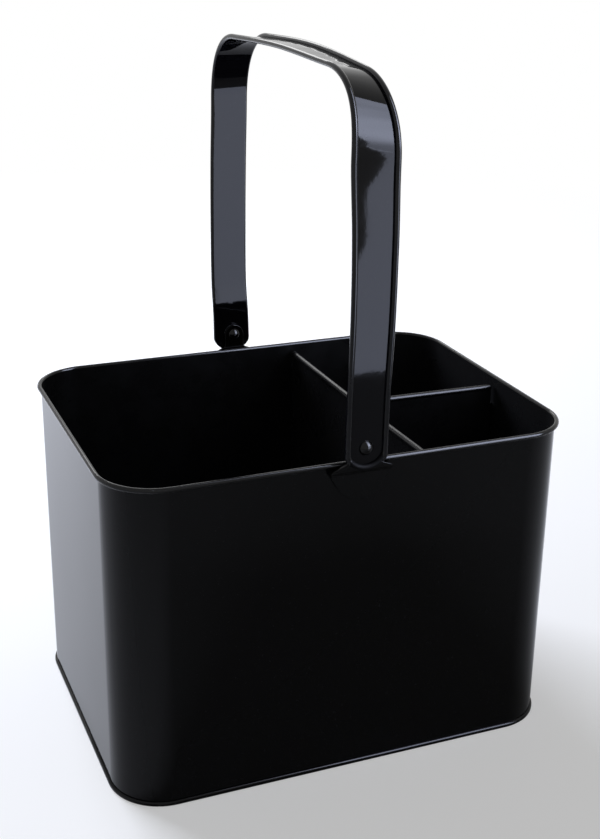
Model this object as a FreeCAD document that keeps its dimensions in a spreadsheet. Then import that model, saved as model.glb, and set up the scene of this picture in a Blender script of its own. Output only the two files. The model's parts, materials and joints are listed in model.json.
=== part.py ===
import FreeCAD, Part
import math
import os
import Sketcher

# A sheet-steel tool caddy: a wrapped wall with a rolled rim, a base held in a foot seam,
# two hemmed dividers, and a strap handle that swings on two riveted lugs.
# Frame: origin under the middle of the caddy, X along its length, +Y to the back, +Z up. Millimetres.

# Driving dimensions: alias, value, meaning
DIMENSIONS = (
    ("body_length", "230", "wall, outside, along X"),
    ("body_depth", "168", "wall, outside, along Y"),
    ("body_height", "165", "floor to the top of the rolled rim"),
    ("corner_radius", "26", "outside radius of the wall's four upright corners"),
    ("wall_sheet", "0.6", "thickness of the wall's sheet"),
    ("curl_diameter", "2.5", "outside diameter of the rolled rim"),
    ("curl_gap", "0.15", "opening left between the rim's rolled edge and the wall"),
    ("seam_width", "5", "width of the wall's lock seam"),
    ("seam_rise", "0.6", "how far the lock seam stands out of the wall"),
    ("seam_place", "38", "lock seam's middle, along Y on the right end wall"),
    ("seam_stop", "0.6", "space that the lock seam keeps from the rim and the foot seam"),
    ("base_sheet", "0.6", "thickness of the base panel's sheet"),
    ("foot_height", "2.4", "height of the foot seam, and of the panel above the floor"),
    ("foot_fold", "1", "thickness of the folded sheet outside the wall"),
    ("foot_round", "0.9", "rounding of the foot seam's outer edges"),
    ("seat_gap", "0.04", "gap between sheets that are pressed or welded together"),
    ("divider_sheet", "0.7", "thickness of the dividers' sheet"),
    ("long_divider_drop", "4.2", "long divider's top edge below the top of the rim"),
    ("cross_divider_drop", "7.1", "cross divider's top edge below the top of the rim"),
    ("divider_hem", "7", "depth of the hem along a divider's top edge"),
    ("divider_flange", "10", "width of the flanges at a divider's ends"),
    ("divider_notch", "9", "how far the flanges stop below the divider's top edge"),
    ("divider_bend", "0.6", "inside radius of the bends at the flanges"),
    ("long_divider_place", "33.7", "long divider's left face, along X"),
    ("cross_divider_place", "-6", "cross divider's front face, along Y"),
    ("pivot_rise", "7.8", "pivot axis above the top of the rim"),
    ("lug_sheet", "1.6", "thickness of the lugs"),
    ("lug_rim_gap", "0.6", "clearance between a lug and the rolled rim"),
    ("lug_tab_radius", "5.3", "radius of the round top of a lug, about the pivot"),
    ("lug_neck_rise", "0.6", "top of the rim to where a lug's neck would meet its shoulders"),
    ("lug_neck_round", "2.5", "hollow rounding between the neck and the shoulders"),
    ("lug_shoulder_width", "33", "width of a lug over the corners of its shoulders, before rounding"),
    ("lug_shoulder_drop", "3.9", "top of the rim to the corners of the shoulders, before rounding"),
    ("lug_shoulder_round", "2.4", "rounding of the shoulders"),
    ("lug_foot_width", "20", "width of a lug where its round foot begins"),
    ("lug_foot_drop", "14.5", "top of the rim to the corners of the round foot"),
    ("lug_foot_radius", "12.5", "radius of the round foot"),
    ("lug_step_rise", "3", "height over which a lug steps out past the rim"),
    ("lug_step_space", "0.5", "upright part of the lug between its step and the underside of the rim"),
    ("lug_bend", "0.5", "inside radius of the bends at a lug's step"),
    ("washer_diameter", "10", "outside diameter of the washers"),
    ("washer_sheet", "1.6", "thickness of the washers"),
    ("rivet_shank", "4", "diameter of the rivets"),
    ("rivet_head", "7", "diameter of the domed head"),
    ("rivet_head_rise", "2.2", "height of the domed head"),
    ("rivet_tail", "6.4", "diameter of the peened end"),
    ("rivet_tail_rise", "1.9", "height of the peened end"),
    ("fixed_fit", "0.02", "radial gap of a rivet in its lug and washer"),
    ("running_fit", "0.06", "radial gap of a rivet in the strap, and side play of the strap"),
    ("strap_width", "21", "strap, over its rolled edges"),
    ("strap_web", "1", "thickness of the strap between its rolled edges"),
    ("strap_edge", "2.7", "diameter of the strap's edges, rolled outward and level with its inside"),
    ("strap_end_drop", "10.5", "pivot to the end of the strap"),
    ("strap_end_radius", "11.5", "radius of the strap's arched ends"),
    ("strap_corner_radius", "7.5", "rounding between the arched ends and the strap's sides"),
    ("handle_rise", "167", "pivot axis to the top of the handle"),
    ("handle_crown", "850", "radius of the slightly arched top, at the middle of the strap"),
    ("handle_corner", "33.5", "radius of the handle's bends, at the middle of the strap"),
)

doc = FreeCAD.newDocument("tool_caddy")
sheet = doc.addObject("Spreadsheet::Sheet", "Sizes")
for row, (alias, value, meaning) in enumerate(DIMENSIONS, start=1):
    sheet.set(f"A{row}", meaning)
    sheet.set(f"B{row}", value)
    sheet.setAlias(f"B{row}", alias)
doc.recompute()

# Places worked out from the driving dimensions
FRONT = "-Sizes.body_depth / 2"
FRONT_INSIDE = f"({FRONT} + Sizes.wall_sheet)"
CURL_RADIUS = "Sizes.curl_diameter / 2"
CURL_BOTTOM = "(Sizes.body_height - Sizes.curl_diameter)"
PIVOT = "(Sizes.body_height + Sizes.pivot_rise)"
LUG_FACE = f"({FRONT} - Sizes.seat_gap)"
TAB_FACE = f"({FRONT_INSIDE} - Sizes.curl_diameter - Sizes.lug_rim_gap)"
WASHER_FACE = f"({TAB_FACE} - Sizes.lug_sheet)"
STRAP_FACE = f"({WASHER_FACE} - Sizes.washer_sheet - Sizes.running_fit)"
STRAP_MIDDLE = f"({STRAP_FACE} - Sizes.strap_web / 2)"
RIVET_SEAT = f"({STRAP_FACE} - Sizes.strap_web - Sizes.running_fit)"
STRAP_END = f"({PIVOT} - Sizes.strap_end_drop)"
DIVIDER_FLOOR = "(Sizes.foot_height + Sizes.seat_gap)"
DIVIDER_ROOM = f"(Sizes.body_height - {DIVIDER_FLOOR})"

LEFT_TURN = 1
RIGHT_TURN = -1
HALF_TURN = FreeCAD.Rotation(FreeCAD.Vector(0, 0, 1), 180)
TO_THE_FRONT = FreeCAD.Rotation(FreeCAD.Vector(0, 0, 1), -90)


def number(expression):
    """The present value of an expression on the sheet, as a plain number."""
    result = sheet.evalExpression(str(expression))
    return float(getattr(result, "Value", result))


def place(x="0", y="0", z="0", turn=FreeCAD.Rotation()):
    """A Placement, and the expressions that keep its base tied to the sheet."""
    base = FreeCAD.Vector(number(x), number(y), number(z))
    return FreeCAD.Placement(base, turn), {"x": x, "y": y, "z": z}


def new_body(label, placement=None):
    """A body whose Label names its file."""
    body = doc.addObject("PartDesign::Body", label)
    body.Label = label
    if placement:
        body.Placement, ties = placement
        for axis, expression in ties.items():
            body.setExpression(f".Placement.Base.{axis}", expression)
    return body


def new_sketch(body, name, plane, lift="0"):
    """A sketch on one of the body's own planes, lifted along the plane's normal."""
    sketch = body.newObject("Sketcher::SketchObject", name)
    flat = [item for item in body.Origin.OriginFeatures if item.Role == plane][0]
    sketch.AttachmentSupport = [(flat, "")]
    sketch.MapMode = "FlatFace"
    sketch.setExpression(".AttachmentOffset.Base.z", lift)
    return sketch


def tie(sketch, constraint, expression):
    """Add a constraint whose value follows the sheet."""
    index = sketch.addConstraint(constraint)
    sketch.setExpression(f"Constraints[{index}]", expression)


def arc_between(start, end, radius, turn):
    """The arc from start to end that turns left or right by less than half a circle."""
    chord = end - start
    reach = math.sqrt(max(radius ** 2 - chord.Length ** 2 / 4, 0))
    side = FreeCAD.Vector(-chord.y, chord.x, 0).normalize()
    centre = (start + end) / 2 + side * reach * turn
    first, last = (start, end) if turn == LEFT_TURN else (end, start)
    angles = [math.atan2(point.y - centre.y, point.x - centre.x) for point in (first, last)]
    return Part.ArcOfCircle(Part.Circle(centre, FreeCAD.Vector(0, 0, 1), radius), *angles)


def draw(sketch, outline, closed=True):
    """Draw an outline whose corners and radii follow the sheet.

    A corner is (x, y), or (x, y, radius, turn) where an arc leaves it.
    """
    points = [FreeCAD.Vector(number(corner[0]), number(corner[1]), 0) for corner in outline]
    count = len(outline) if closed else len(outline) - 1
    ends = []
    for index in range(count):
        corner = outline[index]
        start, end = points[index], points[(index + 1) % len(points)]
        if len(corner) == 2:
            edge = sketch.addGeometry(Part.LineSegment(start, end))
            ends.append((edge, 1, 2))
            continue
        radius, turn = corner[2:]
        edge = sketch.addGeometry(arc_between(start, end, number(radius), turn))
        ends.append((edge, 1, 2) if turn == LEFT_TURN else (edge, 2, 1))
        tie(sketch, Sketcher.Constraint("Radius", edge, number(radius)), radius)
    for index in range(count):
        edge, first, last = ends[index]
        x, y = outline[index][:2]
        tie(sketch, Sketcher.Constraint("DistanceX", -1, 1, edge, first, points[index].x), x)
        tie(sketch, Sketcher.Constraint("DistanceY", -1, 1, edge, first, points[index].y), y)
        if closed or index + 1 < count:
            following = ends[(index + 1) % count]
            sketch.addConstraint(Sketcher.Constraint("Coincident", edge, last, following[0], following[1]))
    if not closed:
        edge, first, last = ends[-1]
        x, y = outline[-1][:2]
        tie(sketch, Sketcher.Constraint("DistanceX", -1, 1, edge, last, points[-1].x), x)
        tie(sketch, Sketcher.Constraint("DistanceY", -1, 1, edge, last, points[-1].y), y)


def draw_circle(sketch, x, y, radius):
    """Draw a circle whose centre and radius follow the sheet."""
    centre = FreeCAD.Vector(number(x), number(y), 0)
    edge = sketch.addGeometry(Part.Circle(centre, FreeCAD.Vector(0, 0, 1), number(radius)))
    tie(sketch, Sketcher.Constraint("Radius", edge, number(radius)), radius)
    tie(sketch, Sketcher.Constraint("DistanceX", -1, 1, edge, 3, centre.x), x)
    tie(sketch, Sketcher.Constraint("DistanceY", -1, 1, edge, 3, centre.y), y)


def pad(body, sketch, length, both_ways=False):
    """Extrude a sketch along its plane's normal, or half each way."""
    feature = body.newObject("PartDesign::Pad", f"{sketch.Name}_pad")
    feature.Profile = sketch
    feature.SideType = "Symmetric" if both_ways else "One side"
    feature.setExpression("Length", length)
    sketch.Visibility = False
    return feature


def cut_through(body, sketch):
    """Cut a sketch through the whole body, both ways."""
    feature = body.newObject("PartDesign::Pocket", f"{sketch.Name}_cut")
    feature.Profile = sketch
    feature.Type = "ThroughAll"
    feature.SideType = "Symmetric"
    return feature


def sweep(body, section, path):
    """Sweep a section along a path."""
    feature = body.newObject("PartDesign::AdditivePipe", f"{section.Name}_sweep")
    feature.Profile = section
    feature.Spine = (path, [f"Edge{index + 1}" for index in range(path.GeometryCount)])
    return feature


def turned(body, section):
    """Turn a section round the body's own Z axis."""
    feature = body.newObject("PartDesign::Revolution", f"{section.Name}_turned")
    feature.Profile = section
    feature.ReferenceAxis = (section, ["V_Axis"])
    feature.Angle = 360
    return feature


def rounded_rectangle(inset="0"):
    """The wall's outline seen from above, drawn in by inset. It starts at the middle of the front."""
    half_x = f"(Sizes.body_length / 2 - {inset})"
    half_y = f"(Sizes.body_depth / 2 - {inset})"
    radius = f"(Sizes.corner_radius - {inset})"
    flat_x = f"({half_x} - {radius})"
    flat_y = f"({half_y} - {radius})"
    return [
        ("0", f"-{half_y}"),
        (flat_x, f"-{half_y}", radius, LEFT_TURN),
        (half_x, f"-{flat_y}"),
        (half_x, flat_y, radius, LEFT_TURN),
        (flat_x, half_y),
        (f"-{flat_x}", half_y, radius, LEFT_TURN),
        (f"-{half_x}", flat_y),
        (f"-{half_x}", f"-{flat_y}", radius, LEFT_TURN),
        (f"-{flat_x}", f"-{half_y}"),
    ]


def make_wall():
    """The wrapped sheet: upright wall, rim rolled outward, lock seam on the right end."""
    body = new_body("body_wall")
    path = new_sketch(body, "wall_path", "XY_Plane")
    draw(path, rounded_rectangle())

    inner_radius = f"({CURL_RADIUS} - Sizes.wall_sheet)"
    centre_y = f"({FRONT_INSIDE} - {CURL_RADIUS})"
    centre_z = f"(Sizes.body_height - {CURL_RADIUS})"
    end_share = f"(({inner_radius} - Sizes.curl_gap) / ({CURL_RADIUS}))"
    end_dip = f"sqrt(1 - {end_share} ^ 2)"

    def on_curl(radius, across, up):
        return f"{centre_y} + ({across}) * {radius}", f"{centre_z} + ({up}) * {radius}"

    section = new_sketch(body, "wall_section", "YZ_Plane")
    rolled_out = [("1", "0"), ("0", "1"), ("-1", "0"), ("0", "-1")]
    rolled_end = (end_share, f"-{end_dip}")
    outline = [(FRONT_INSIDE, "Sizes.base_sheet + Sizes.seat_gap")]
    for across, up in rolled_out:
        outline.append((*on_curl(f"({CURL_RADIUS})", across, up), CURL_RADIUS, LEFT_TURN))
    outline.append(on_curl(f"({CURL_RADIUS})", *rolled_end))
    outline.append((*on_curl(inner_radius, *rolled_end), inner_radius, RIGHT_TURN))
    for across, up in rolled_out[:0:-1]:
        outline.append((*on_curl(inner_radius, across, up), inner_radius, RIGHT_TURN))
    outline.append(on_curl(inner_radius, *rolled_out[0]))
    outline.append((FRONT, "Sizes.base_sheet + Sizes.seat_gap"))
    draw(section, outline)
    sweep(body, section, path)

    seam_foot = "Sizes.foot_height + Sizes.seam_stop"
    seam_length = f"{CURL_BOTTOM} - Sizes.foot_height - 2 * Sizes.seam_stop"
    seam = new_sketch(body, "lock_seam", "XY_Plane", seam_foot)
    inside = "Sizes.body_length / 2 - Sizes.wall_sheet / 2"
    outside = "Sizes.body_length / 2 + Sizes.seam_rise"
    near = "Sizes.seam_place - Sizes.seam_width / 2"
    far = "Sizes.seam_place + Sizes.seam_width / 2"
    draw(seam, [(inside, near), (outside, near), (outside, far), (inside, far)])
    pad(body, seam, seam_length)
    return body


def make_base():
    """The base: a panel raised off the floor, folded round the wall's lower edge as the foot seam."""
    body = new_body("base_panel")
    path = new_sketch(body, "base_path", "XY_Plane")
    draw(path, rounded_rectangle())

    groove_out = f"({FRONT} - Sizes.seat_gap)"
    groove_in = f"({FRONT_INSIDE} + Sizes.seat_gap)"
    outer = f"({groove_out} - Sizes.foot_fold)"
    inner = f"({groove_in} + Sizes.base_sheet)"
    rounding = "Sizes.foot_round"
    section = new_sketch(body, "foot_section", "YZ_Plane")
    draw(section, [
        (f"{outer} + {rounding}", "0"),
        (inner, "0"),
        (inner, "Sizes.foot_height"),
        (groove_in, "Sizes.foot_height"),
        (groove_in, "Sizes.base_sheet"),
        (groove_out, "Sizes.base_sheet"),
        (groove_out, "Sizes.foot_height"),
        (f"{outer} + {rounding}", "Sizes.foot_height", rounding, LEFT_TURN),
        (outer, f"Sizes.foot_height - {rounding}"),
        (outer, rounding, rounding, LEFT_TURN),
    ])
    sweep(body, section, path)

    panel = new_sketch(body, "panel", "XY_Plane", "Sizes.foot_height - Sizes.base_sheet")
    draw(panel, rounded_rectangle("(Sizes.wall_sheet + Sizes.seat_gap)"))
    pad(body, panel, "Sizes.base_sheet")
    return body


def make_divider(label, length, drop, placement):
    """A divider along its own X axis: a web with two end flanges and a hem along the top."""
    body = new_body(label, placement)
    height = f"({DIVIDER_ROOM} - {drop})"
    bend = "(Sizes.divider_bend + Sizes.divider_sheet)"
    far_bend = f"({length} - {bend})"
    thick = "Sizes.divider_sheet"
    flange = "Sizes.divider_flange"
    flange_height = f"({height} - Sizes.divider_notch)"
    plan = new_sketch(body, f"{label}_plan", "XY_Plane")
    draw(plan, [
        ("0", flange),
        ("0", bend, bend, LEFT_TURN),
        (bend, "0"),
        (far_bend, "0", bend, LEFT_TURN),
        (length, bend),
        (length, flange),
        (f"{length} - {thick}", flange),
        (f"{length} - {thick}", bend, "Sizes.divider_bend", RIGHT_TURN),
        (far_bend, thick),
        (bend, thick, "Sizes.divider_bend", RIGHT_TURN),
        (thick, bend),
        (thick, flange),
    ])
    pad(body, plan, flange_height)

    hem = new_sketch(body, f"{label}_hem", "YZ_Plane", bend)
    draw(hem, [
        ("0", flange_height),
        (thick, flange_height),
        (thick, f"{height} - Sizes.divider_hem"),
        (f"2 * {thick}", f"{height} - Sizes.divider_hem"),
        (f"2 * {thick}", f"{height} - {thick}", thick, LEFT_TURN),
        (thick, height, thick, LEFT_TURN),
        ("0", f"{height} - {thick}"),
    ])
    pad(body, hem, f"{length} - 2 * {bend}")
    return body


def make_lug(label, turn):
    """A pressed lug: a shield welded to the wall, stepped out over the rim to a round pivot tab."""
    body = new_body(label, place(turn=turn))
    foot = "(Sizes.body_height - Sizes.lug_foot_drop - Sizes.lug_foot_radius)"
    top = f"({PIVOT} + Sizes.lug_tab_radius)"
    step_top = f"({CURL_BOTTOM} - Sizes.lug_step_space)"
    step_foot = f"({step_top} - Sizes.lug_step_rise)"
    step_out = f"({LUG_FACE} - {TAB_FACE})"
    lean = f"atan({step_out} / Sizes.lug_step_rise)"
    thick = "Sizes.lug_sheet"
    small = "Sizes.lug_bend"
    large = f"({small} + {thick})"
    small_run = f"({small} * tan({lean} / 2))"
    large_run = f"({large} * tan({lean} / 2))"
    shift = f"({thick} * tan({lean} / 2))"
    side = new_sketch(body, f"{label}_side", "YZ_Plane")
    draw(side, [
        (LUG_FACE, foot),
        (LUG_FACE, f"{step_foot} - {large_run}", large, LEFT_TURN),
        (f"{LUG_FACE} - {large_run} * sin({lean})", f"{step_foot} + {large_run} * cos({lean})"),
        (f"{TAB_FACE} + {small_run} * sin({lean})", f"{step_top} - {small_run} * cos({lean})",
         small, RIGHT_TURN),
        (TAB_FACE, f"{step_top} + {small_run}"),
        (TAB_FACE, top),
        (f"{TAB_FACE} - {thick}", top),
        (f"{TAB_FACE} - {thick}", f"{step_top} - {shift} + {large_run}", large, LEFT_TURN),
        (f"{TAB_FACE} - {thick} + {large_run} * sin({lean})",
         f"{step_top} - {shift} - {large_run} * cos({lean})"),
        (f"{LUG_FACE} - {thick} - {small_run} * sin({lean})",
         f"{step_foot} - {shift} + {small_run} * cos({lean})", small, RIGHT_TURN),
        (f"{LUG_FACE} - {thick}", f"{step_foot} - {shift} - {small_run}"),
        (f"{LUG_FACE} - {thick}", foot),
    ])
    pad(body, side, "Sizes.lug_shoulder_width", both_ways=True)

    neck = "Sizes.lug_tab_radius"
    neck_end = "(Sizes.body_height + Sizes.lug_neck_rise)"
    shoulder = "(Sizes.lug_shoulder_width / 2)"
    shoulder_top = "(Sizes.body_height - Sizes.lug_shoulder_drop)"
    toe = "(Sizes.lug_foot_width / 2)"
    toe_top = "(Sizes.body_height - Sizes.lug_foot_drop)"
    toe_radius = "Sizes.lug_foot_radius"
    toe_dip = f"{toe_top} - ({toe_radius} - sqrt({toe_radius} ^ 2 - {toe} ^ 2))"
    slope = f"atan(({neck_end} - {shoulder_top}) / ({shoulder} - {neck}))"
    taper = f"atan(({shoulder} - {toe}) / ({shoulder_top} - {toe_top}))"
    hollow = "Sizes.lug_neck_round"
    hollow_run = f"({hollow} * tan((90 deg - {slope}) / 2))"
    rounding = "Sizes.lug_shoulder_round"
    rounding_run = f"({rounding} * tan((90 deg - {slope} + {taper}) / 2))"
    hollow_side = f"({neck} + {hollow_run} * cos({slope}))"
    hollow_foot = f"{neck_end} - {hollow_run} * sin({slope})"
    round_start = f"({shoulder} - {rounding_run} * cos({slope}))"
    round_start_height = f"{shoulder_top} + {rounding_run} * sin({slope})"
    round_end = f"({shoulder} - {rounding_run} * sin({taper}))"
    round_end_height = f"{shoulder_top} - {rounding_run} * cos({taper})"
    shield = [
        (neck, PIVOT, neck, LEFT_TURN),
        ("0", top, neck, LEFT_TURN),
        (f"-{neck}", PIVOT),
        (f"-{neck}", f"{neck_end} + {hollow_run}", hollow, RIGHT_TURN),
        (f"-{hollow_side}", hollow_foot),
        (f"-{round_start}", round_start_height, rounding, LEFT_TURN),
        (f"-{round_end}", round_end_height),
        (f"-{toe}", toe_top, toe_radius, LEFT_TURN),
        ("0", toe_dip, toe_radius, LEFT_TURN),
        (toe, toe_top),
        (round_end, round_end_height, rounding, LEFT_TURN),
        (round_start, round_start_height),
        (hollow_side, hollow_foot, hollow, RIGHT_TURN),
        (neck, f"{neck_end} + {hollow_run}"),
    ]
    trim = new_sketch(body, f"{label}_trim", "XZ_Plane")
    draw(trim, shield)
    wide = "Sizes.lug_shoulder_width"
    draw(trim, [
        (f"-{wide}", f"{foot} - {wide}"),
        (wide, f"{foot} - {wide}"),
        (wide, f"{top} + {wide}"),
        (f"-{wide}", f"{top} + {wide}"),
    ])
    cut_through(body, trim)

    hole = new_sketch(body, f"{label}_hole", "XZ_Plane")
    draw_circle(hole, "0", PIVOT, "Sizes.rivet_shank / 2 + Sizes.fixed_fit")
    cut_through(body, hole)
    return body


def make_washer(label, turn):
    """A flat washer that sits on the lug and holds the strap clear of it."""
    body = new_body(label, place(turn=turn))
    ring = new_sketch(body, f"{label}_ring", "XZ_Plane", f"-{WASHER_FACE}")
    draw_circle(ring, "0", PIVOT, "Sizes.washer_diameter / 2")
    draw_circle(ring, "0", PIVOT, "Sizes.rivet_shank / 2 + Sizes.fixed_fit")
    pad(body, ring, "Sizes.washer_sheet")
    return body


def make_rivet(label, placement):
    """A pivot rivet: domed head outside the strap, shank, and peened end inside the lug."""
    body = new_body(label, placement)
    grip = f"({TAB_FACE} - {RIVET_SEAT})"
    shank = "Sizes.rivet_shank / 2"
    head = "Sizes.rivet_head / 2"
    head_rise = "Sizes.rivet_head_rise"
    tail = "Sizes.rivet_tail / 2"
    tail_rise = "Sizes.rivet_tail_rise"
    head_radius = f"((({head}) ^ 2 + {head_rise} ^ 2) / (2 * {head_rise}))"
    tail_radius = f"((({tail}) ^ 2 + {tail_rise} ^ 2) / (2 * {tail_rise}))"
    section = new_sketch(body, f"{label}_section", "XZ_Plane")
    draw(section, [
        ("0", f"-{tail_rise}", tail_radius, LEFT_TURN),
        (tail, "0"),
        (shank, "0"),
        (shank, grip),
        (head, grip, head_radius, LEFT_TURN),
        ("0", f"{grip} + {head_rise}"),
    ])
    turned(body, section)
    return body


def make_strap():
    """The handle: a strap with its edges rolled outward, bent into an arch, with round ends and pivot holes."""
    body = new_body("handle_strap")
    reach = f"(-{STRAP_MIDDLE})"
    corner = "Sizes.handle_corner"
    crown = "Sizes.handle_crown"
    top = f"({PIVOT} + Sizes.handle_rise - Sizes.strap_edge + Sizes.strap_web / 2)"
    crown_centre = f"({top} - {crown})"
    bend_middle = f"({reach} - {corner})"
    bend_height = f"({crown_centre} + sqrt(({crown} - {corner}) ^ 2 - {bend_middle} ^ 2))"
    share = f"({crown} / ({crown} - {corner}))"
    crown_end = f"({bend_middle} * {share})"
    crown_drop = f"({crown_centre} + ({bend_height} - {crown_centre}) * {share})"
    path = new_sketch(body, "strap_path", "YZ_Plane")
    draw(path, [
        (f"-{reach}", STRAP_END),
        (f"-{reach}", bend_height, corner, RIGHT_TURN),
        (f"-{crown_end}", crown_drop, crown, RIGHT_TURN),
        (crown_end, crown_drop, corner, RIGHT_TURN),
        (reach, bend_height),
        (reach, STRAP_END),
    ], closed=False)

    edge = "(Sizes.strap_edge / 2)"
    half_web = "(Sizes.strap_web / 2)"
    edge_place = f"(Sizes.strap_width / 2 - {edge})"
    roll_place = f"({half_web} - {edge})"
    web_end = f"({edge_place} - sqrt({edge} ^ 2 - ({edge} - Sizes.strap_web) ^ 2))"

    def across(offset):
        return f"{STRAP_MIDDLE} + {offset}"

    section = new_sketch(body, "strap_section", "XY_Plane", STRAP_END)
    draw(section, [
        (f"-{web_end}", across(f"-{half_web}")),
        (web_end, across(f"-{half_web}"), edge, LEFT_TURN),
        (edge_place, across(f"{roll_place} - {edge}"), edge, LEFT_TURN),
        (f"{edge_place} + {edge}", across(roll_place), edge, LEFT_TURN),
        (edge_place, across(half_web)),
        (f"-{edge_place}", across(half_web), edge, LEFT_TURN),
        (f"-{edge_place} - {edge}", across(roll_place), edge, LEFT_TURN),
        (f"-{edge_place}", across(f"{roll_place} - {edge}"), edge, LEFT_TURN),
    ])
    sweep(body, section, path)

    side = "(Sizes.strap_width / 2)"
    arch = "Sizes.strap_end_radius"
    rounding = "Sizes.strap_corner_radius"
    rounding_place = f"({side} - {rounding})"
    rounding_drop = f"sqrt(({arch} - {rounding}) ^ 2 - {rounding_place} ^ 2)"
    side_end = f"({STRAP_END} + {arch} - {rounding_drop})"
    stretch = f"({arch} / ({arch} - {rounding}))"
    arch_end = f"({rounding_place} * {stretch})"
    arch_end_height = f"({STRAP_END} + {arch} - {rounding_drop} * {stretch})"
    past_side = f"({side} + {rounding})"
    past_end = f"({STRAP_END} - {rounding})"
    ends = new_sketch(body, "strap_ends", "XZ_Plane")
    draw(ends, [
        (f"-{past_side}", past_end),
        (past_side, past_end),
        (past_side, side_end),
        (side, side_end, rounding, RIGHT_TURN),
        (arch_end, arch_end_height, arch, RIGHT_TURN),
        (f"-{arch_end}", arch_end_height, rounding, RIGHT_TURN),
        (f"-{side}", side_end),
        (f"-{past_side}", side_end),
    ])
    cut_through(body, ends)

    hole = new_sketch(body, "strap_holes", "XZ_Plane")
    draw_circle(hole, "0", PIVOT, "Sizes.rivet_shank / 2 + Sizes.running_fit")
    cut_through(body, hole)
    return body


def make_all():
    """Every piece of the caddy, in the order it would be put together."""
    long_length = "(Sizes.body_depth - 2 * Sizes.wall_sheet - 2 * Sizes.seat_gap)"
    long_face = "(Sizes.long_divider_place + Sizes.divider_sheet + Sizes.seat_gap)"
    end_wall = "(Sizes.body_length / 2 - Sizes.wall_sheet - Sizes.seat_gap)"
    cross_length = f"({end_wall} - {long_face})"
    no_turn = FreeCAD.Rotation()
    head_to_front = FreeCAD.Rotation(FreeCAD.Vector(1, 0, 0), 90)
    head_to_back = FreeCAD.Rotation(FreeCAD.Vector(1, 0, 0), -90)
    return [
        make_wall(),
        make_base(),
        make_divider("long_divider", long_length, "Sizes.long_divider_drop", place(
            "Sizes.long_divider_place", f"-{FRONT_INSIDE} - Sizes.seat_gap", DIVIDER_FLOOR, TO_THE_FRONT)),
        make_divider("cross_divider", cross_length, "Sizes.cross_divider_drop", place(
            long_face, "Sizes.cross_divider_place", DIVIDER_FLOOR)),
        make_lug("front_lug", no_turn),
        make_lug("back_lug", HALF_TURN),
        make_washer("front_washer", no_turn),
        make_washer("back_washer", HALF_TURN),
        make_rivet("front_rivet", place("0", TAB_FACE, PIVOT, head_to_front)),
        make_rivet("back_rivet", place("0", f"-{TAB_FACE}", PIVOT, head_to_back)),
        make_strap(),
    ]


def check_and_write(pieces):
    """Stop on any failed object or bad solid, then write one file for each piece."""
    doc.recompute()
    for item in doc.Objects:
        if {"Invalid", "Error"} & set(item.State):
            raise RuntimeError(f"{item.Label} failed: {item.State}")
    for piece in pieces:
        if piece.Shape.isNull() or not piece.Shape.isValid() or len(piece.Shape.Solids) != 1:
            raise RuntimeError(f"{piece.Label} is not one valid solid")
    os.makedirs("parts", exist_ok=True)
    for piece in pieces:
        piece.Shape.exportStep(os.path.join("parts", f"{piece.Label}.step"))
        box = piece.Shape.optimalBoundingBox(False)
        print(f"{piece.Label}: {piece.Shape.Volume:.0f} mm3, "
              f"X {box.XMin:.2f} to {box.XMax:.2f}, Y {box.YMin:.2f} to {box.YMax:.2f}, "
              f"Z {box.ZMin:.2f} to {box.ZMax:.2f}")


check_and_write(make_all())
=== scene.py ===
import json
import math

import bpy
from mathutils import Matrix, Vector


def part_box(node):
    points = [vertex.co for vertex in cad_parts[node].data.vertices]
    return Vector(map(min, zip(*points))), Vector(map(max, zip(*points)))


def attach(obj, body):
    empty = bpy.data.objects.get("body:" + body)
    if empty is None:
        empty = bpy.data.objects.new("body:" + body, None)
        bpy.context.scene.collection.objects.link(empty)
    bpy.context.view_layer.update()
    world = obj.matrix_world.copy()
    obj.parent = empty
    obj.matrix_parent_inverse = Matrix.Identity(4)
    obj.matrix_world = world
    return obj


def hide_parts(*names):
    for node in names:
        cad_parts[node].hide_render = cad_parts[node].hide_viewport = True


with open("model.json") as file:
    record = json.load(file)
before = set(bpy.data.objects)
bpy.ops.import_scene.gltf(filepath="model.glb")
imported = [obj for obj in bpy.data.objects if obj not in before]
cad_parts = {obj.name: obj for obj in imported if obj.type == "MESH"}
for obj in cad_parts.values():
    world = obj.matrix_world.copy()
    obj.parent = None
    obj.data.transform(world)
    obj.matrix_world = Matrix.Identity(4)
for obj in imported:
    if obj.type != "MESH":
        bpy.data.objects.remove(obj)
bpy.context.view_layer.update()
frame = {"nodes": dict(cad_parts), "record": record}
MM = 0.001
MM_IN_METRE = 1000
WHITE = "#FFFFFF"


def linear(code):
    """An sRGB hex colour as linear RGBA."""
    parts = [int(code[i:i + 2], 16) / 255 for i in (1, 3, 5)]
    curve = [p / 12.92 if p <= 0.04045 else ((p + 0.055) / 1.055) ** 2.4 for p in parts]
    return (*curve, 1.0)


def node(tree, kind, inputs=None, **settings):
    """Add a shader node, set its options, and set or link its inputs."""
    made = tree.nodes.new("ShaderNode" + kind)
    for name, value in settings.items():
        setattr(made, name, value)
    for name, value in (inputs or {}).items():
        if isinstance(value, bpy.types.NodeSocket):
            tree.links.new(value, made.inputs[name])
        else:
            made.inputs[name].default_value = value
    return made


def blank_material(name):
    """A new material with an empty node tree and its output node."""
    material = bpy.data.materials.new(name)
    material.use_nodes = True
    material.node_tree.nodes.clear()
    return material, material.node_tree, node(material.node_tree, "OutputMaterial")


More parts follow.
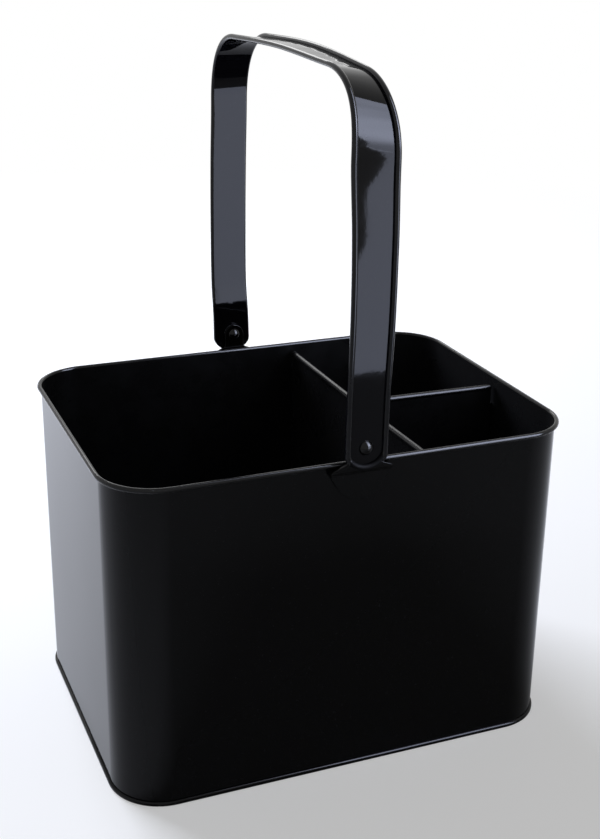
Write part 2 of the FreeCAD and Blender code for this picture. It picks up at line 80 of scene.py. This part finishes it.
# Stoved gloss enamel on steel sheet: near black, mirror-like, with a faint orange peel that makes reflections
# waver, and a little dust and handling haze that lifts the gloss unevenly. Sizes of the patterns are in mm.
# The dust is drawn coarser than it is, so that it shows
PEEL_SIZE = 2.2
PEEL_DEPTH = 0.004
WAVE_SIZE = 55.0
HAZE_SIZE = 18.0
HAZE_FROM = 0.3
HAZE_TO = 0.75
CLEAN_SHARE = 0.85
HAZY_SHARE = 1.2
DUST_SIZE = 0.9
DUST_FROM = 0.68
DUST_TO = 0.8
DUST_MOST = 0.5
DUST_COLOUR = "#3A3A3C"


def gloss_enamel(name, colour, sheet_wave, roughness, ior):
    """The enamel in one of its blacks, with the depth in mm that the sheet under it waves."""
    material, tree, output = blank_material(name)
    place = node(tree, "TexCoord").outputs["Object"]
    peel = node(tree, "TexNoise", {"Vector": place, "Scale": MM_IN_METRE / PEEL_SIZE, "Detail": 1.0})
    wave = node(tree, "TexNoise", {"Vector": place, "Scale": MM_IN_METRE / WAVE_SIZE, "Detail": 0.0})
    haze = node(tree, "TexNoise", {"Vector": place, "Scale": MM_IN_METRE / HAZE_SIZE, "Detail": 5.0,
                                   "Roughness": 0.6})
    dust = node(tree, "TexNoise", {"Vector": place, "Scale": MM_IN_METRE / DUST_SIZE, "Detail": 2.0})
    specks = node(tree, "MapRange", {"Value": dust.outputs["Fac"], "From Min": DUST_FROM, "From Max": DUST_TO,
                                     "To Min": 0.0, "To Max": DUST_MOST})
    tint = node(tree, "Mix", {"Factor": specks.outputs["Result"], "A": linear(colour),
                              "B": linear(DUST_COLOUR)}, data_type="RGBA")
    gloss = node(tree, "MapRange", {"Value": haze.outputs["Fac"], "From Min": HAZE_FROM, "From Max": HAZE_TO,
                                    "To Min": roughness * CLEAN_SHARE, "To Max": roughness * HAZY_SHARE})
    waved = node(tree, "Bump", {"Height": wave.outputs["Fac"], "Strength": 1.0, "Distance": sheet_wave * MM})
    peeled = node(tree, "Bump", {"Height": peel.outputs["Fac"], "Strength": 1.0, "Distance": PEEL_DEPTH * MM,
                                 "Normal": waved.outputs["Normal"]})
    enamel = node(tree, "BsdfPrincipled", {"Base Color": tint.outputs["Result"], "IOR": ior,
                                           "Roughness": gloss.outputs["Result"],
                                           "Normal": peeled.outputs["Normal"]})
    tree.links.new(enamel.outputs["BSDF"], output.inputs["Surface"])
    return material


# The stoved coat is thin and soft on the broad sheet, and pools to a thick hard gloss on rolled edges and
# rivets. Round the strap's ends it is rubbed dull
SHEET_BLACK = "#0B0B0C"
# This lighter black is also the base colour of the inside, and there it is painted light: it lifts the shaded
# inside of the wall and the dividers
EDGE_AND_PAINTED_LIGHT_INSIDE_BLACK = "#131314"
STRAP_BLACK = "#0C0C10"
PRESSED_BLACK = "#0A0A0B"
SHEET_IOR = 1.2
BEAD_IOR = 1.25
STRAP_EDGE_IOR = 1.27
RUBBED_IOR = 1.12
body_enamel = gloss_enamel("stoved_gloss_black_enamel", SHEET_BLACK,
                           sheet_wave=0.10, roughness=0.04, ior=SHEET_IOR)
# Inside faces: a lighter black as painted light, standing in for the light that barely reaches the shaded
# inside, with a rougher coat
painted_light_inside_enamel = gloss_enamel("painted_light_black_enamel_inside", EDGE_AND_PAINTED_LIGHT_INSIDE_BLACK,
                            sheet_wave=0.10, roughness=0.28, ior=SHEET_IOR)
bead_enamel = gloss_enamel("stoved_black_enamel_on_rolled_edge", EDGE_AND_PAINTED_LIGHT_INSIDE_BLACK,
                           sheet_wave=0.02, roughness=0.14, ior=BEAD_IOR)
hem_enamel = gloss_enamel("stoved_black_enamel_on_hem", EDGE_AND_PAINTED_LIGHT_INSIDE_BLACK,
                          sheet_wave=0.02, roughness=0.26, ior=BEAD_IOR)
handle_enamel = gloss_enamel("stoved_black_enamel_on_strap", STRAP_BLACK,
                             sheet_wave=0.14, roughness=0.04, ior=SHEET_IOR)
strap_edge_enamel = gloss_enamel("stoved_black_enamel_on_strap_edge", STRAP_BLACK,
                                 sheet_wave=0.02, roughness=0.10, ior=STRAP_EDGE_IOR)
strap_end_enamel = gloss_enamel("rubbed_black_enamel_on_strap_end", PRESSED_BLACK,
                                sheet_wave=0.02, roughness=0.55, ior=RUBBED_IOR)
lug_enamel = gloss_enamel("stoved_black_enamel_on_pressing", PRESSED_BLACK,
                          sheet_wave=0.05, roughness=0.10, ior=SHEET_IOR)
rivet_enamel = gloss_enamel("stoved_black_enamel_on_rivet", PRESSED_BLACK,
                            sheet_wave=0.02, roughness=0.14, ior=BEAD_IOR)

# Zinc-plated washers: dull grey metal with a fine satin scatter, its grain in mm
ZINC_GRAIN = 0.6
ZINC_SMOOTH = 0.25
ZINC_ROUGH = 0.5
washer_zinc, tree, output = blank_material("zinc_plated_steel")
place = node(tree, "TexCoord").outputs["Object"]
grain = node(tree, "TexNoise", {"Vector": place, "Scale": MM_IN_METRE / ZINC_GRAIN, "Detail": 3.0})
shade = node(tree, "MapRange", {"Value": grain.outputs["Fac"], "To Min": ZINC_SMOOTH, "To Max": ZINC_ROUGH})
zinc = node(tree, "BsdfPrincipled", {"Base Color": linear("#8A8C8E"), "Metallic": 1.0,
                                     "Roughness": shade.outputs["Result"]})
tree.links.new(zinc.outputs["BSDF"], output.inputs["Surface"])

FINISHES = {
    "body_enamel": body_enamel,
    "divider_enamel": body_enamel,
    "handle_enamel": handle_enamel,
    "lug_enamel": lug_enamel,
    "rivet_enamel": rivet_enamel,
    "washer_steel": washer_zinc,
}
slot_of_node = {part["node"]: part["material_slot"] for part in frame["record"]["subparts"]}
for name, piece in frame["nodes"].items():
    piece.data.materials.clear()
    piece.data.materials.append(FINISHES[slot_of_node[name]])

# Shared by the pieces: lengths in mm, the axes by number, and the two sides of a piece along X
MERGE_REACH = 0.001
FLAT_ANGLE = math.radians(0.5)
SHARP_ANGLE = math.radians(40)
FOLD_ANGLE = math.radians(35)
ROUND_STEPS = 3
ALONG_Y = 1
ALONG_Z = 2
SIDES = ("left", "right")


def fresh_copy(source, name):
    """A piece with a merged copy of a CAD node's mesh, selected and active, alone."""
    bpy.ops.object.select_all(action="DESELECT")
    piece = bpy.data.objects.new(name, frame["nodes"][source].data.copy())
    bpy.context.scene.collection.objects.link(piece)
    piece.select_set(True)
    bpy.context.view_layer.objects.active = piece
    bpy.ops.mesh.customdata_custom_splitnormals_clear()
    bpy.ops.object.mode_set(mode="EDIT")
    bpy.ops.mesh.select_all(action="SELECT")
    bpy.ops.mesh.remove_doubles(threshold=MERGE_REACH * MM)
    bpy.ops.object.mode_set(mode="OBJECT")
    return piece


def select_faces(piece, wanted):
    """In edit mode, select just the active piece's faces whose centre, in mm, and normal pass the test."""
    bpy.ops.object.mode_set(mode="EDIT")
    bpy.ops.mesh.select_mode(type="FACE")
    bpy.ops.mesh.select_all(action="DESELECT")
    bpy.ops.object.mode_set(mode="OBJECT")
    for face in piece.data.polygons:
        face.select = wanted(face.center / MM, face.normal)
    bpy.ops.object.mode_set(mode="EDIT")


def second_finish(piece, material, wanted):
    """Give the active piece's faces that pass the test a further material."""
    piece.data.materials.append(material)
    select_faces(piece, wanted)
    piece.active_material_index = len(piece.data.materials) - 1
    bpy.ops.object.material_slot_assign()
    bpy.ops.object.mode_set(mode="OBJECT")


def slice_across(axis, places):
    """Cut a ring of edges round the active piece at each place, in mm along an axis, for it to bend at."""
    normal = Vector((0, 0, 0))
    normal[axis] = 1
    bpy.ops.object.mode_set(mode="EDIT")
    for place in places:
        bpy.ops.mesh.select_all(action="SELECT")
        bpy.ops.mesh.bisect(plane_co=normal * place * MM, plane_no=normal)
    bpy.ops.object.mode_set(mode="OBJECT")


def soften_edges(width):
    """Join the triangles of each flat of the active piece, and round its sharp edges, width in mm."""
    bpy.ops.object.mode_set(mode="EDIT")
    bpy.ops.mesh.select_mode(type="EDGE")
    bpy.ops.mesh.select_all(action="SELECT")
    bpy.ops.mesh.dissolve_limited(angle_limit=FLAT_ANGLE)
    bpy.ops.mesh.select_all(action="DESELECT")
    bpy.ops.mesh.edges_select_sharp(sharpness=SHARP_ANGLE)
    bpy.ops.mesh.bevel(offset=width * MM, segments=ROUND_STEPS, clamp_overlap=True)
    bpy.ops.object.mode_set(mode="OBJECT")


def smooth(piece):
    """Smooth shading with crisp folds, and flats that stay flat up to their rounded edges."""
    bpy.ops.object.shade_smooth_by_angle(angle=FOLD_ANGLE)
    even = piece.modifiers.new("flat_faces_first", "WEIGHTED_NORMAL")
    even.keep_sharp = True
    bpy.ops.object.modifier_apply(modifier=even.name)


def bend(piece, low, high, stations, heights, moves):
    """Bend the piece with a cage of points between two corners, in mm.

    The cage has points at both sides, at stations along Y and at heights. Each move is of one of them, in mm.
    """
    size = high - low
    bpy.ops.object.select_all(action="DESELECT")
    bpy.ops.object.add(type="LATTICE", location=(low + high) / 2 * MM)
    cage = bpy.context.object
    cage.scale = size * MM
    cage.data.points_u = len(SIDES)
    cage.data.points_v = stations
    cage.data.points_w = heights
    for way in ("interpolation_type_u", "interpolation_type_v", "interpolation_type_w"):
        setattr(cage.data, way, "KEY_CATMULL_ROM")
    for (side, station, height), move in moves.items():
        index = (height * stations + station) * len(SIDES) + SIDES.index(side)
        cage.data.points[index].co_deform += Vector([part / span for part, span in zip(move, size)])
    bpy.ops.object.select_all(action="DESELECT")
    piece.select_set(True)
    bpy.context.view_layer.objects.active = piece
    hand = piece.modifiers.new("bent_by_hand", "LATTICE")
    hand.object = cage
    bpy.ops.object.modifier_apply(modifier=hand.name)
    bpy.data.objects.remove(cage)


def stands_for(piece, body, source):
    """The piece rides on a body, and stands for the source node, which is hidden."""
    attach(piece, body)
    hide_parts(source)


# Wall: the sheet with a thinner, softer coat inside, painted a lighter black there as painted light on the
# shaded inside, and its rolled rim, which has the thicker coat
CURL_BOTTOM = 162.45
wall = fresh_copy("body_wall", "enamelled_wall")
second_finish(wall, painted_light_inside_enamel, lambda centre, normal: normal.x * centre.x + normal.y * centre.y < 0)
second_finish(wall, bead_enamel, lambda centre, normal: centre.z > CURL_BOTTOM)
smooth(wall)
stands_for(wall, "caddy", "body_wall")

# Dividers: each has a rolled hem along its top edge, thicker than the sheet and with the thicker coat.
# They were set in by eye: the long one leans to the right at its front end, the cross one stands a bit high
HEM_RADIUS = 1.55
HEM_SIDES = 24
HEM_END_ROUND = 0.8
END_FACING = 0.9
LONG_HEM = (Vector((34.2, -82.0, 159.5)), Vector((34.2, 82.0, 159.5)))
CROSS_HEM = (Vector((35.6, -5.2, 157.9)), Vector((113.2, -5.2, 157.9)))
LONG_CUTS = range(-70, 71, 14)
FOOT_AND_TOP = (0, 1)
LONG_LEAN = (2.7, 0.5, 0)
LONG_TOP_RISE = -0.35
LONG_SET_BY_EYE = {(side, station, height): (lean, 0, height * LONG_TOP_RISE)
                   for station, lean in enumerate(LONG_LEAN) for height in FOOT_AND_TOP for side in SIDES}
CROSS_STATIONS = 2
CROSS_SHIFT = {"left": 0.7, "right": 0}
CROSS_TOP_RISE = {"left": 1.7, "right": 0.9}
CROSS_SET_BY_EYE = {(side, station, height): (CROSS_SHIFT[side], 0, height * CROSS_TOP_RISE[side])
                    for station in range(CROSS_STATIONS) for height in FOOT_AND_TOP for side in SIDES}


def rolled_hem(start, finish):
    """A bar with rounded ends from point to point, in mm."""
    run = finish - start
    bpy.ops.object.select_all(action="DESELECT")
    bpy.ops.mesh.primitive_cylinder_add(vertices=HEM_SIDES, radius=HEM_RADIUS * MM, depth=run.length * MM,
                                        location=(start + finish) / 2 * MM,
                                        rotation=run.to_track_quat("Z", "Y").to_euler())
    hem = bpy.context.object
    bpy.ops.object.transform_apply(location=True, rotation=True, scale=True)
    select_faces(hem, lambda centre, normal: abs(normal.dot(run.normalized())) > END_FACING)
    bpy.ops.mesh.bevel(offset=HEM_END_ROUND * MM, segments=ROUND_STEPS)
    bpy.ops.object.mode_set(mode="OBJECT")
    hem.data.materials.append(hem_enamel)
    return hem


for source, name, hem_ends, cuts, stations, set_by_eye in (
        ("long_divider", "enamelled_long_divider", LONG_HEM, LONG_CUTS, len(LONG_LEAN), LONG_SET_BY_EYE),
        ("cross_divider", "enamelled_cross_divider", CROSS_HEM, (), CROSS_STATIONS, CROSS_SET_BY_EYE)):
    hem = rolled_hem(*hem_ends)
    divider = fresh_copy(source, name)
    # All of each divider takes the inside finish, whose lighter black is painted light on the shaded inside
    second_finish(divider, painted_light_inside_enamel, lambda centre, normal: True)
    hem.select_set(True)
    bpy.ops.object.join()
    slice_across(ALONG_Y, cuts)
    low, high = (Vector(corner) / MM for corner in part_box(source))
    bend(divider, low, high, stations, len(FOOT_AND_TOP), set_by_eye)
    smooth(divider)
    stands_for(divider, "caddy", source)

# Lugs: pressed from sheet, so every cut edge is rounded over
LUG_EDGE_ROUND = 0.35
for source, name in (("front_lug", "pressed_front_lug"), ("back_lug", "pressed_back_lug")):
    lug = fresh_copy(source, name)
    soften_edges(LUG_EDGE_ROUND)
    smooth(lug)
    stands_for(lug, "caddy", source)

# Strap: the handle as it was bent by hand, a little out of true. Moves in mm of the left and right edges
# at stations along Y, from the front leg to the back leg, and heights from the strap ends to the top bar
LEG_CUTS = range(180, 301, 5)
TOP_CUTS = range(-56, 57, 8)
STATIONS = 5
HEIGHTS = 6
BENT_BY_HAND = {
    ("left", 0, 1): (0.2, -0.06, 0),
    ("right", 0, 1): (0.3, 0.06, 0),
    ("left", 0, 2): (0.8, -0.06, 0),
    ("right", 0, 2): (1.3, 0.06, 0),
    ("left", 0, 3): (0.4, -0.01, 0),
    ("right", 0, 3): (1.3, 0.01, 0),
    ("left", 0, 4): (-0.9, 0.15, 0),
    ("right", 0, 4): (0.7, -0.15, -0.8),
    ("left", 0, 5): (0, -6.0, 1.8),
    ("right", 0, 5): (0, -2.0, -3.8),
    ("right", 1, 5): (0, 0, -2.2),
    ("right", 2, 5): (0, 0, -0.4),
    ("left", 3, 5): (-0.4, 0, 0.2),
    ("right", 3, 5): (-0.7, 0, 0.2),
    ("left", 4, 5): (-0.6, 2.0, 1.4),
    ("right", 4, 5): (-1.2, 2.0, 1.2),
    ("left", 4, 4): (-0.3, 0.3, 0),
    ("right", 4, 4): (-1.3, 0.3, 0),
    ("left", 4, 3): (-0.9, 0.5, 0),
    ("right", 4, 3): (-1.8, 0.5, 0),
    ("left", 4, 2): (-1.2, 0.48, 0),
    ("right", 4, 2): (-2.0, 0.48, 0),
    ("left", 4, 1): (-1.1, -0.2, 0),
    ("right", 4, 1): (-1.8, -0.2, 0),
}

# Two finer bends, each in a cage of its own with a station at each leg
LEGS = 2
FRONT_LEG = 0
BACK_LEG = 1

# The back leg is cranked in just above its pivot: how far it lies back, in mm, at even steps of height
CRANK_TO = 235.0
FOOT_CRANK = (0, -0.60, -1.05, -0.02, 0.24, 0.15, 0)
CRANKED_FOOT = {(side, BACK_LEG, height): (0, crank, 0)
                for height, crank in enumerate(FOOT_CRANK) for side in SIDES}

# The front leg is twisted a little below its bend: how far its right edge lies back, and its left edge
# forward, in mm, at even steps of height
TWIST_FROM = 254.0
TWIST_TO = 320.0
LEG_TWIST = (0, -0.05, -0.11, -0.07, 0.01, 0.10, 0.165, 0.05, -0.08, -0.02, -0.03, 0)
TWISTED_LEG = {(side, FRONT_LEG, height): (0, way * twist, 0)
               for height, twist in enumerate(LEG_TWIST) for side, way in zip(SIDES, (-1, 1))}

# Rolled edge round each end of the strap, which carries the rolled sides round the arched tip. Sizes in mm
EDGE_RADIUS = 1.35
EDGE_OUT = 91.11
EDGE_SIDE = 9.15
CORNER_PLACE = 3.0
CORNER_HEIGHT = 171.154
ARCH_HEIGHT = 173.8
CORNER_TURN = math.radians(41.41)
ARCH_TURN = math.pi - 2 * CORNER_TURN
CORNER_STEPS = 6
ARCH_STEPS = 12
TUBE_SIDES = 16


def rolled_end(way):
    """The tube round one end: a ring spun down one corner, along the arch and up the other corner."""
    out = way * EDGE_OUT
    bpy.ops.object.select_all(action="DESELECT")
    bpy.ops.mesh.primitive_circle_add(vertices=TUBE_SIDES, radius=EDGE_RADIUS * MM, fill_type="NGON",
                                      location=Vector((EDGE_SIDE, out, CORNER_HEIGHT)) * MM)
    tube = bpy.context.object
    bpy.ops.object.transform_apply(location=True, rotation=True, scale=True)
    bpy.ops.object.mode_set(mode="EDIT")
    bpy.ops.mesh.select_mode(type="FACE")
    bpy.ops.mesh.select_all(action="SELECT")
    for place, height, turn, steps in ((CORNER_PLACE, CORNER_HEIGHT, CORNER_TURN, CORNER_STEPS),
                                       (0, ARCH_HEIGHT, ARCH_TURN, ARCH_STEPS),
                                       (-CORNER_PLACE, CORNER_HEIGHT, CORNER_TURN, CORNER_STEPS)):
        bpy.ops.mesh.spin(steps=steps, angle=turn, center=Vector((place, out, height)) * MM, axis=(0, -1, 0))
    bpy.ops.mesh.select_all(action="SELECT")
    bpy.ops.mesh.normals_make_consistent(inside=False)
    bpy.ops.object.mode_set(mode="OBJECT")
    tube.data.materials.append(strap_end_enamel)
    return tube


ends = [rolled_end(way) for way in (-1, 1)]
strap = fresh_copy("handle_strap", "enamelled_strap")
for end in ends:
    end.select_set(True)
bpy.ops.object.join()
second_finish(strap, strap_edge_enamel, lambda centre, normal: abs(centre.x) > EDGE_SIDE - EDGE_RADIUS)
slice_across(ALONG_Z, LEG_CUTS)
slice_across(ALONG_Y, TOP_CUTS)
low, high = (Vector(corner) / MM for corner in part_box("handle_strap"))
crank_top = Vector((high.x, high.y, CRANK_TO))
twist_foot = Vector((low.x, low.y, TWIST_FROM))
twist_top = Vector((high.x, high.y, TWIST_TO))
bend(strap, low, high, STATIONS, HEIGHTS, BENT_BY_HAND)
bend(strap, low, crank_top, LEGS, len(FOOT_CRANK), CRANKED_FOOT)
bend(strap, twist_foot, twist_top, LEGS, len(LEG_TWIST), TWISTED_LEG)
smooth(strap)
stands_for(strap, "handle", "handle_strap")

# Floor: pale and plain, seen by the camera and in the gloss as nearly white. It keeps the shadow near the
# caddy, in the gloss most of all, and goes over to plain white further out, so that it has no horizon.
# Lengths are in metres
FLOOR_SIDE = 12.0
FLOOR_COLOUR = "#EEEEEE"
FLOOR_GLOW = 0.4
GLOSS_GLOW = 0.0
SHADOW_REACH = 0.55
WHITE_FROM = 1.5
bpy.ops.object.select_all(action="DESELECT")
bpy.ops.mesh.primitive_plane_add(size=FLOOR_SIDE, location=(0, 0, 0))
floor = bpy.context.object
floor.name = "studio_floor"
paper, tree, output = blank_material("pale_paper_floor")
rays = node(tree, "LightPath")
mirrored = node(tree, "Math", {0: rays.outputs["Is Glossy Ray"], 1: rays.outputs["Is Transmission Ray"]},
                operation="MAXIMUM")
away = node(tree, "VectorMath", {0: node(tree, "TexCoord").outputs["Object"]}, operation="LENGTH")
shares = []
for seen, near_glow in ((rays.outputs["Is Camera Ray"], FLOOR_GLOW), (mirrored.outputs[0], GLOSS_GLOW)):
    glow = node(tree, "MapRange", {"Value": away.outputs["Value"],
                                   "From Min": SHADOW_REACH, "From Max": WHITE_FROM,
                                   "To Min": near_glow, "To Max": 1.0}, interpolation_type="SMOOTHSTEP")
    shares.append(node(tree, "Math", {0: seen, 1: glow.outputs["Result"]}, operation="MULTIPLY").outputs[0])
share = node(tree, "Math", {0: shares[0], 1: shares[1]}, operation="MAXIMUM")
matt = node(tree, "BsdfDiffuse", {"Color": linear(FLOOR_COLOUR)})
white = node(tree, "Emission", {"Color": linear(WHITE), "Strength": 1.0})
mixed = node(tree, "MixShader", {"Fac": share.outputs[0], 1: matt.outputs[0], 2: white.outputs[0]})
tree.links.new(mixed.outputs[0], output.inputs["Surface"])
floor.data.materials.append(paper)

# World: white where it is seen, softer where it only lights
WORLD_AMBIENT = 0.25
world = bpy.data.worlds.new("pale_studio")
bpy.context.scene.world = world
world.use_nodes = True
tree = world.node_tree
tree.nodes.clear()
rays = node(tree, "LightPath")
seen = node(tree, "Math", {0: rays.outputs["Is Camera Ray"], 1: rays.outputs["Is Glossy Ray"]},
            operation="MAXIMUM")
shown = node(tree, "Math", {0: seen.outputs[0], 1: rays.outputs["Is Transmission Ray"]}, operation="MAXIMUM")
level = node(tree, "MapRange", {"Value": shown.outputs[0], "To Min": WORLD_AMBIENT, "To Max": 1.0})
sky = node(tree, "Background", {"Color": linear(WHITE), "Strength": level.outputs["Result"]})
node(tree, "OutputWorld", {"Surface": sky.outputs[0]})


def soft_light(name, place, aim, width, height, level, colour=WHITE, in_gloss=True, on_matt=True, falls=()):
    """A rectangular soft light at a place, aimed at a point, sizes in metres, level as seen brightness.

    It may fall off from its brightest part: falls has places up its height, each with its share of level.
    """
    lamp = bpy.data.lights.new(name, "AREA")
    lamp.shape = "RECTANGLE"
    lamp.size = width
    lamp.size_y = height
    lamp.energy = level * math.pi * width * height
    lamp.color = linear(colour)[:3]
    if falls:
        lamp.use_nodes = True
        tree = lamp.node_tree
        tree.nodes.clear()
        across = node(tree, "SeparateXYZ", {0: node(tree, "NewGeometry").outputs["Parametric"]})
        ramp = node(tree, "ValToRGB", {"Fac": across.outputs["Y"]})
        while len(ramp.color_ramp.elements) < len(falls):
            ramp.color_ramp.elements.new(1.0)
        ramp.color_ramp.interpolation = "EASE"
        for spot, (height_share, level_share) in zip(ramp.color_ramp.elements, falls):
            spot.position = height_share
            spot.color = (level_share, level_share, level_share, 1)
        shine = node(tree, "Emission", {"Strength": ramp.outputs["Color"]})
        node(tree, "OutputLight", {"Surface": shine.outputs[0]})
    holder = bpy.data.objects.new(name, lamp)
    holder.location = place
    holder.rotation_euler = (Vector(aim) - Vector(place)).to_track_quat("-Z", "Y").to_euler()
    holder.visible_camera = False
    holder.visible_diffuse = on_matt
    holder.visible_glossy = in_gloss
    bpy.context.scene.collection.objects.link(holder)


# Soft lights: a key low behind that lights the floor, and cards that the gloss shows as bands of grey:
# a low one for the straight legs, a leaning one above it for the bend, and a high one behind for the rim
COOL = "#DCE4FF"
FAINTLY_COOL = "#ECF1FF"
soft_light("back_key", place=(-0.5, 1.55, 0.95), aim=(0, 0, 0.05), width=1.2, height=0.9, level=21,
           colour=FAINTLY_COOL, in_gloss=False)
soft_light("low_front_card", place=(0.430, -0.50, 0.157), aim=(0.430, 0, 0.157), width=0.50, height=0.216,
           level=9.7, colour=COOL, on_matt=False)
soft_light("leaning_front_card", place=(0.430, -0.325, 0.724), aim=(0.430, 0.597, 0.374), width=0.50,
           height=0.986, level=31, colour=COOL, on_matt=False,
           falls=((0.0, 0.33), (0.14, 1.0), (0.60, 0.50), (1.0, 0.38)))
soft_light("high_back_card", place=(0.22, 1.5, 1.0), aim=(0, 0, 0.165), width=0.96, height=0.26, level=4.5,
           on_matt=False)

# The photograph's camera: place and sensor in mm, angles in degrees, focal length in the photograph's pixels
PHOTO_HEIGHT = 839
CAMERA_PLACE = (-236.25, -586.65, 400.10)
CAMERA_YAW = -22.363
CAMERA_PITCH = 21.321
CAMERA_ROLL = 0.892
CAMERA_FOCUS = 1328.4
SENSOR = 36.0
CLIP_NEAR = 0.02
CLIP_FAR = 60
yaw, pitch, roll = (math.radians(angle) for angle in (CAMERA_YAW, CAMERA_PITCH, CAMERA_ROLL))
backward = Vector((math.sin(yaw) * math.cos(pitch), -math.cos(yaw) * math.cos(pitch), math.sin(pitch)))
level_right = Vector((math.cos(yaw), math.sin(yaw), 0))
level_up = backward.cross(level_right)
rightward = level_right * math.cos(roll) + level_up * math.sin(roll)
upward = level_up * math.cos(roll) - level_right * math.sin(roll)
lens = bpy.data.cameras.new("photo_camera")
lens.sensor_width = SENSOR
lens.lens = CAMERA_FOCUS * SENSOR / PHOTO_HEIGHT
lens.clip_start = CLIP_NEAR
lens.clip_end = CLIP_FAR
camera = bpy.data.objects.new("photo_camera", lens)
turn = Matrix((rightward, upward, backward)).transposed().to_4x4()
camera.matrix_world = Matrix.Translation(Vector(CAMERA_PLACE) * MM) @ turn
bpy.context.scene.collection.objects.link(camera)
bpy.context.scene.camera = camera
bpy.context.scene.view_settings.view_transform = "Standard"
